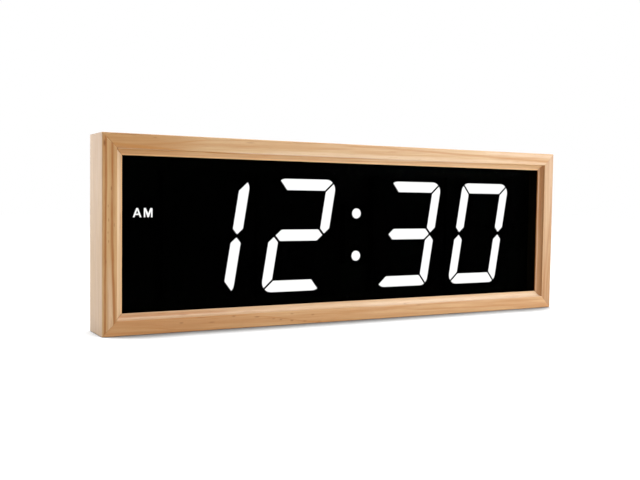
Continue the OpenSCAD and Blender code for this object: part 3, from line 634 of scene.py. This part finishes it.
def smoked_lens():
    """Dark acrylic sheet: light that passes is dimmed, and the face is almost free of reflections."""
    lens = Finish("smoked_lens", Transmission_Weight=1.0, IOR=1.02, Base_Color=(0.1, 0.1, 0.1))
    wiped = lens.drawn_noise(scale=(14, 1, 40), detail=3)
    lens.rough(lens.drift(wiped, low=0.01, high=0.04))
    return lens.material


def lit_diffuser():
    """White light-spreading plastic, with a fine frosted grain; the light is a plain value on the shader."""
    white = Finish("lit_diffuser", Emission_Color=(1, 1, 1), Emission_Strength=10.2)
    frost = white.noise(scale=1800, detail=2)
    white.colour(white.ramp(frost, [(NOISE_LOW, (0.8, 0.8, 0.8)), (NOISE_HIGH, (0.9, 0.9, 0.9))]))
    white.rough(white.drift(frost, low=0.5, high=0.7))
    white.bump(frost, strength=0.2, depth=0.1 * MM)
    return white.material


def circuit_board():
    """Dark solder mask over copper: tracks are the thin borders of stretched cells, paler than the mask."""
    board = Finish("circuit_board", Specular_IOR_Level=0.2)
    cells = board.node("TexVoronoi", {"feature": "DISTANCE_TO_EDGE", "distance": "CHEBYCHEV"},
                       Vector=board.moved(scale=(160, 1, 260)), Scale=1.0).outputs["Distance"]
    track = board.span(cells, *TRACK_RANGE, 1, 0)
    slow = board.noise(scale=90, detail=2)
    mask = board.ramp(slow, [(NOISE_LOW, (0.004, 0.006, 0.005)), (NOISE_HIGH, (0.006, 0.009, 0.007))])
    board.colour(board.blend(track, mask, (0.012, 0.02, 0.014)))
    board.rough(board.drift(slow, low=0.3, high=0.42))
    board.bump(track, strength=0.3, depth=0.04 * MM)
    return board.material


def paint(material, *nodes):
    """Gives CAD nodes a finish."""
    for name in nodes:
        mesh = CAD[name].data
        mesh.materials.clear()
        mesh.materials.append(material)


# Camera at the photograph's viewpoint
CAMERA_AT = (-0.41353, -0.68305, 0.11251)
YAW, PITCH, ROLL = (math.radians(angle) for angle in (29.193, -2.839, 0.778))
FOCAL_PIXELS = 846.42
IMAGE_WIDTH = 640
SENSOR = 36.0
camera = bpy.data.objects.new("camera", bpy.data.cameras.new("camera"))
camera.data.sensor_width = SENSOR
camera.data.lens = FOCAL_PIXELS * SENSOR / IMAGE_WIDTH
forward = Vector((math.sin(YAW) * math.cos(PITCH), math.cos(YAW) * math.cos(PITCH), math.sin(PITCH)))
level = Vector((math.cos(YAW), -math.sin(YAW), 0))
upward = level.cross(forward)
right = math.cos(ROLL) * level + math.sin(ROLL) * upward
top = math.cos(ROLL) * upward - math.sin(ROLL) * level
facing = Matrix((right, top, -forward)).transposed().to_4x4()
camera.matrix_world = Matrix.Translation(CAMERA_AT) @ facing
SCENE.collection.objects.link(camera)
SCENE.camera = camera

# Frame: the pale, middle and dark tones of its wood
HONEY = [(214, 183, 142), (206, 171, 128), (180, 122, 58)]
TAN = [(212, 173, 125), (202, 160, 109), (178, 112, 48)]
WARM = [(204, 167, 117), (197, 157, 105), (158, 98, 36)]
PALE = [(199, 163, 120), (192, 154, 111), (160, 98, 40)]

# Each side with what shows on it: dark streaks, and pale streaks of Sapwood and of painted light, from place
# to place, and flecks about a place
top_wood = timber(
    "wood_top", upright=False, outer=FRAME_H, pith=(0.2, 0.06, -0.149), tilt=(2.0, -0.6), ring=6.2 * MM,
    # Painted light: the lip's paler tint
    tones=HONEY, contrast=0.36, lip=(0.6, (240, 190, 132)), warm=(0.8, -205, -130),
    streaks=[((-260, 8.0), (-118, 15.4), 2.1, 0.85), ((-115, 16.0), (25, 15.4), 1.5, 0.65),
             ((-15, 19.5), (230, 13.4), 1.5, 0.6), ((-195, 7.0), (-140, 2.2), 0.9, 0.45),
             ((-135, 1.6), (-92, 1.4), 1.1, 0.5), ((-65, 5.0), (-15, 4.8), 1.6, 0.35),
             ((-20, 1.8), (270, 8.3), 1.7, 0.65), ((-260, 19), (-95, 19), 3.5, 0.25),
             ((-150, 18.9), (-30, 18.9), 2.4, 0.4)],
    # Pale streaks: the two along the cove's riser (reach 13.4) are painted bounce light, the one at the right
    # end is painted sheen
    sapwood_and_painted_light=[((-130, 13.4), (150, 13.6), 2.7, 0.95), ((150, 2.0), (270, 3.0), 3, 0.45),
             ((-280, 13.4), (-150, 13.4), 1.6, 0.45), ((-90, 10.4), (290, 10.4), 2.4, 0.35),
             ((0, 17.3), (120, 17.3), 2.2, 0.3)],
    flecks=[((-218, 0.6), 20, 0.9, 0.35), ((-196, 2.6), 2.0, 0.6, 0.4), ((-112, 3.2), 5, 0.6, 0.35)])
bottom_wood = timber(
    "wood_bottom", upright=False, outer=0, pith=(0.7, 0.07, 0.012), tilt=(-1.2, 0.8), ring=5.8 * MM,
    # Painted light: the cove's pale tint is painted sheen, the lip's tint is painted light
    tones=TAN, contrast=0.45, cove=(0.38, (239, 215, 184)), lip=(0.2, (238, 186, 130)),
    warm=(0.5, -205, -10),
    streaks=[((-215, 6.0), (-158, 1.0), 0.9, 0.35), ((-20, 8.0), (50, 8.6), 2.4, 0.42),
             ((60, 6.2), (200, 4.5), 1.3, 0.4), ((-260, 2.2), (-190, 1.4), 0.9, 0.6),
             ((-112, 9.6), (-36, 0.8), 0.8, 0.5), ((-260, 19), (-130, 19), 3, 0.48),
             ((-168, 11.3), (-106, 11.0), 0.8, 0.5), ((40, 10.2), (145, 11.3), 0.8, 0.45)],
    # The wide pale streak in the cove is painted sheen
    sapwood_and_painted_light=[((8, 15), (280, 15.2), 5.2, 0.7)],
    flecks=[((-104, 8.8), 3, 0.8, 0.6), ((-88, 6.2), 2, 0.6, 0.45), ((-81, 5.0), 2, 0.7, 0.5),
            ((-70, 3.5), 2, 0.9, 0.6), ((-57, 2.3), 2.5, 0.7, 0.55), ((-42, 1.2), 2.5, 0.6, 0.4),
            ((-173, 7.6), 2.2, 0.8, 0.55), ((-146, 6.6), 3.5, 0.7, 0.4), ((-126, 10.6), 2.2, 0.8, 0.6),
            ((-156, 10.9), 6, 0.5, 0.5), ((-70, 9.6), 2.2, 0.6, 0.5), ((-49, 7.6), 2, 0.7, 0.5),
            ((-170, 17.0), 5, 1.6, 0.3), ((53, 13.6), 2, 2.0, 0.3), ((68, 10.7), 4, 0.5, 0.5)])
left_wood = timber(
    "wood_left", upright=True, outer=FRAME_W / 2, pith=(0.3, 0.09, -0.2), tilt=(0.5, 0.7), ring=5.6 * MM,
    # Painted light: the cove's pale tint is painted sheen, the lip's tint is painted light
    tones=WARM, contrast=0.2, cove=(0.35, (228, 208, 178)), lip=(0.6, (246, 190, 130)),
    # The outer side's pale tint is painted sheen
    warm=(0.3, 160, 115), side=0.35,
    streaks=[((-30, 2.5), (200, 3.1), 1.4, 1.0), ((-30, 10.3), (115, 8.1), 1.6, 1.0),
             ((118, 8.1), (200, 8.5), 1.5, 1.0)],
    sapwood_and_painted_light=[((-20, 7), (55, 6.4), 3, 0.35), ((80, 19), (125, 19), 2, 0.25)],
    flecks=[((153.5, 2.1), 3.0, 1.2, 0.95), ((60, 3.0), 2, 0.8, 0.55), ((76, 5.3), 1.5, 0.5, 0.5),
            ((83, 4.8), 1.5, 0.5, 0.45), ((93, 5.3), 1.8, 0.5, 0.5), ((104, 4.9), 1.5, 0.5, 0.45),
            ((118, 7.5), 2, 0.7, 0.6), ((89, 9.8), 2, 0.6, 0.45)])
right_wood = timber(
    "wood_right", upright=True, outer=-FRAME_W / 2, pith=(0.9, 0.08, 0.19), tilt=(0.7, -0.6), ring=6 * MM,
    # Painted shade: the cove's darker, warmer tint
    tones=PALE, contrast=0.3, cove=(0.35, (202, 136, 77)), warm=(0.25, 10, 130),
    streaks=[((5, 9.5), (115, 2.0), 1.9, 0.4), ((10, 5.5), (70, 1.5), 1.7, 0.4),
             # Painted shade: the wide dark streak across the cove and the full one on the sight wall
             ((85, 17.5), (210, 17.5), 5, 0.5), ((-30, 22.5), (200, 22.5), 1.9, 1.0)],
    sapwood_and_painted_light=[((95, 3), (200, 3), 4, 0.25), ((50, 8.5), (220, 8.5), 4, 0.11),
             # The pale streak along the lip is painted light
             ((-30, 20.5), (200, 20.5), 1.1, 0.4)])


def along_x(edge, inward):
    """Place on a level rail whose outer edge is at the given height."""
    return lambda along, inset, y: np.stack([along, y, edge + inward * inset], axis=-1)


def along_z(edge, inward):
    """Place on an upright stile whose outer edge is at the given side."""
    return lambda along, inset, y: np.stack([edge + inward * inset, y, FRAME_H / 2 + along], axis=-1)


mitred_rail("top_rail", "frame_rail_top", FRAME_W, along_x(FRAME_H, -1), top_wood)
mitred_rail("bottom_rail", "frame_rail_bottom", FRAME_W, along_x(0, 1), bottom_wood)
mitred_rail("left_stile", "frame_stile_left", FRAME_H, along_z(-FRAME_W / 2, 1), left_wood)
mitred_rail("right_stile", "frame_stile_right", FRAME_H, along_z(FRAME_W / 2, -1), right_wood)

# Plastics: colour and its spread, least and most roughness, spots of grain to a metre, and strength of relief
housing_black = moulded("housing_black", (0.004, 0.004, 0.004), spread=0.3, rough=(0.7, 0.85), grain=1500,
                        relief=0.2, Specular_IOR_Level=0.1)
unlit_diffuser = moulded("unlit_diffuser", (0.006, 0.006, 0.006), spread=0.2, rough=(0.6, 0.75), grain=1800,
                         relief=0.15, Specular_IOR_Level=0.1)
cover_black = moulded("cover_black", (0.022, 0.022, 0.024), spread=0.25, rough=(0.48, 0.66), grain=1400,
                      relief=0.45)
key_grey = moulded("key_grey", (0.16, 0.16, 0.17), spread=0.12, rough=(0.42, 0.55), grain=1600,
                   relief=0.15, edge=0)
plunger_cream = moulded("plunger_cream", (0.72, 0.69, 0.6), spread=0.06, rough=(0.4, 0.5), grain=900,
                        relief=0.1)
inlet_black = moulded("inlet_black", (0.015, 0.015, 0.016), spread=0.2, rough=(0.3, 0.42), grain=900,
                      relief=0.12)
sleeve_blue = moulded("sleeve_blue", (0.02, 0.03, 0.12), spread=0.15, rough=(0.25, 0.35), grain=500,
                      relief=0.1)
epoxy_black = moulded("epoxy_black", (0.02, 0.02, 0.02), spread=0.25, rough=(0.55, 0.75), grain=2500,
                      relief=0.3)
tape_black = moulded("tape_black", (0.02, 0.02, 0.02), spread=0.2, rough=(0.8, 0.95), grain=1200,
                     relief=0.3)
window_red = moulded("window_red", (0.012, 0.004, 0.005), spread=0.3, rough=(0.08, 0.16), grain=200,
                     relief=0.03)
diode_cream = moulded("diode_cream", (0.78, 0.72, 0.48), spread=0.08, rough=(0.15, 0.25), grain=700,
                      relief=0.05)

# Metals: colour, least and most roughness, and lines to a metre along each axis
bright_steel = metal("bright_steel", (0.6, 0.6, 0.6), rough=(0.25, 0.4), stretch=(900, 900, 900))
dark_steel = metal("dark_steel", (0.05, 0.05, 0.052), rough=(0.3, 0.45), stretch=(1400, 500, 1400))
cover_steel = metal("cover_steel", (0.36, 0.36, 0.37), rough=(0.24, 0.4), stretch=(1500, 300, 1500))
can_steel = metal("can_steel", (0.65, 0.65, 0.66), rough=(0.2, 0.32), stretch=(200, 1500, 1500))
nickel = metal("nickel", (0.7, 0.68, 0.64), rough=(0.18, 0.3), stretch=(900, 200, 900))
brass = metal("brass", (0.75, 0.58, 0.3), rough=(0.22, 0.35), stretch=(1500, 1500, 200))

# Finishes of the CAD nodes
DIGITS = ["hour_tens", "hour_units", "minute_tens", "minute_units"]
paint(smoked_lens(), "front_lens")
paint(tape_black, "lens_tape")
paint(lit_diffuser(), *[digit + "_lit_bars" for digit in DIGITS], "colon_dots", "am_letters")
paint(unlit_diffuser, *[digit + "_dark_bars" for digit in DIGITS], "pm_letters")
paint(housing_black, *[digit + "_housing" for digit in DIGITS], "colon_housing", "am_pm_housing")
paint(circuit_board(), "display_board")
paint(diode_cream, "bar_leds")
paint(bright_steel, "housing_screws", "corner_keys", "door_hinge_pin")
paint(dark_steel, "board_screws")
paint(cover_steel, "cover_screws")
paint(window_red, "ir_receiver")
paint(epoxy_black, "controller_chip", "driver_chips")
paint(can_steel, "clock_crystal")
paint(inlet_black, "dc_power_jack", "alarm_buzzer", "coin_cell_holder", "switch_bodies")
paint(sleeve_blue, "filter_capacitor")
paint(nickel, "dc_jack_pin", "coin_cell")
paint(brass, "coin_cell_clip")
paint(cover_black, "rear_cover", "battery_door")
paint(plunger_cream, "set_plunger", "up_plunger", "down_plunger")

# Keys on the back, each with its mark of the same plastic below it
set_at = key_cap("set_key_cap", "set_button", "set_key", key_grey)
up_at = key_cap("up_key_cap", "up_button", "up_key", key_grey)
down_at = key_cap("down_key_cap", "down_button", "down_key", key_grey)
raised_mark("up_mark", round_triangle(TRIANGLE_REACH, 1), (up_at[0], up_at[1] - MARK_DROP), key_grey)
raised_mark("down_mark", round_triangle(TRIANGLE_REACH, -1), (down_at[0], down_at[1] - MARK_DROP), key_grey)
bead_ring("set_mark", RING_REACH, RING_BEAD, (set_at[0], set_at[1] - MARK_DROP), key_grey)

# White floor, which shows its own light, and less of it in the contact shadow close to the clock
FLOOR_HALF = 4.0
FLOOR_Z = -0.2 * MM
FLOOR_GLOW = 0.27
FLOOR_LIT = (0.85, 0.85, 0.85)
FLOOR_SEEN = (0.22, 0.22, 0.22)
SHADOW_REACH = 55 * MM
SHADOW_SAMPLES = 16
SHADOW_DARK, SHADOW_CLEAR = 0.52, 0.88

# The shadow is gathered in a direction that leans out past the clock's ends and in from its front and back
LEAN_OUT = 0.5
LEAN_IN = 0.12
floor_corners = [(-FLOOR_HALF, -FLOOR_HALF, FLOOR_Z), (FLOOR_HALF, -FLOOR_HALF, FLOOR_Z),
                 (FLOOR_HALF, FLOOR_HALF, FLOOR_Z), (-FLOOR_HALF, FLOOR_HALF, FLOOR_Z)]
floor_mesh = bpy.data.meshes.new("floor")
floor_mesh.from_pydata(floor_corners, [], [[0, 1, 2, 3]])
floor = bpy.data.objects.new("floor", floor_mesh)
SCENE.collection.objects.link(floor)
ground = Finish("floor_white", Roughness=0.9, Specular_IOR_Level=0.0, Emission_Color=(1, 1, 1))
direct = ground.seen_directly()
on_floor = ground.node("SeparateXYZ", Vector=ground.place).outputs
past_end = ground.span(on_floor["X"], FRAME_LOW[0], FRAME_HIGH[0], -LEAN_OUT, LEAN_OUT)
to_clock = ground.span(on_floor["Y"], FRAME_LOW[1], FRAME_HIGH[1], LEAN_IN, -LEAN_IN)
leaning = ground.node("CombineXYZ", X=past_end, Y=to_clock, Z=1.0).outputs["Vector"]
around = ground.node("AmbientOcclusion", {"samples": SHADOW_SAMPLES}, Distance=SHADOW_REACH, Normal=leaning)
clear = ground.ease(around.outputs["AO"], SHADOW_DARK, SHADOW_CLEAR, 0, 1)
ground.colour(ground.blend(direct, FLOOR_LIT, FLOOR_SEEN))
ground.feed(ground.shader.inputs["Emission Strength"], ground.span(direct, 0, 1, FLOOR_GLOW, clear))
floor_mesh.materials.append(ground.material)

# White surroundings for what is seen directly, and a dimmer dome for the light
DOME = 0.04
world = bpy.data.worlds.new("studio")
SCENE.world = world
world.use_nodes = True
sky = Graph(world.node_tree)
backdrop = world.node_tree.nodes["Background"].inputs
sky.feed(backdrop["Color"], (1, 1, 1))
sky.feed(backdrop["Strength"], sky.span(sky.seen_directly(), 0, 1, DOME, 1))


def softbox(name, at, aim, size, power):
    """Square soft lamp that faces a point."""
    lamp = bpy.data.objects.new(name, bpy.data.lights.new(name, "AREA"))
    lamp.data.size = size
    lamp.data.energy = power
    lamp.location = at
    lamp.rotation_euler = (Vector(aim) - Vector(at)).to_track_quat("-Z", "Y").to_euler()
    lamp.visible_camera = False
    SCENE.collection.objects.link(lamp)


softbox("key_softbox", at=(0.95, -1.0, 0.55), aim=(0.1, 0, 0.08), size=0.8, power=8.7)
softbox("right_softbox", at=(1.4, -0.35, 0.25), aim=(0, 0, 0.08), size=0.6, power=5.2)
softbox("top_softbox", at=(0.35, -0.1, 1.4), aim=(0.1, -0.1, 0), size=1.2, power=27)
softbox("left_softbox", at=(-1.4, 0.15, 0.6), aim=(-0.2, 0, 0.08), size=0.8, power=5.8)
softbox("back_softbox", at=(-0.8, 1.8, 0.6), aim=(0, 0, 0.08), size=1.2, power=4)

SCENE.view_settings.view_transform = "Standard"
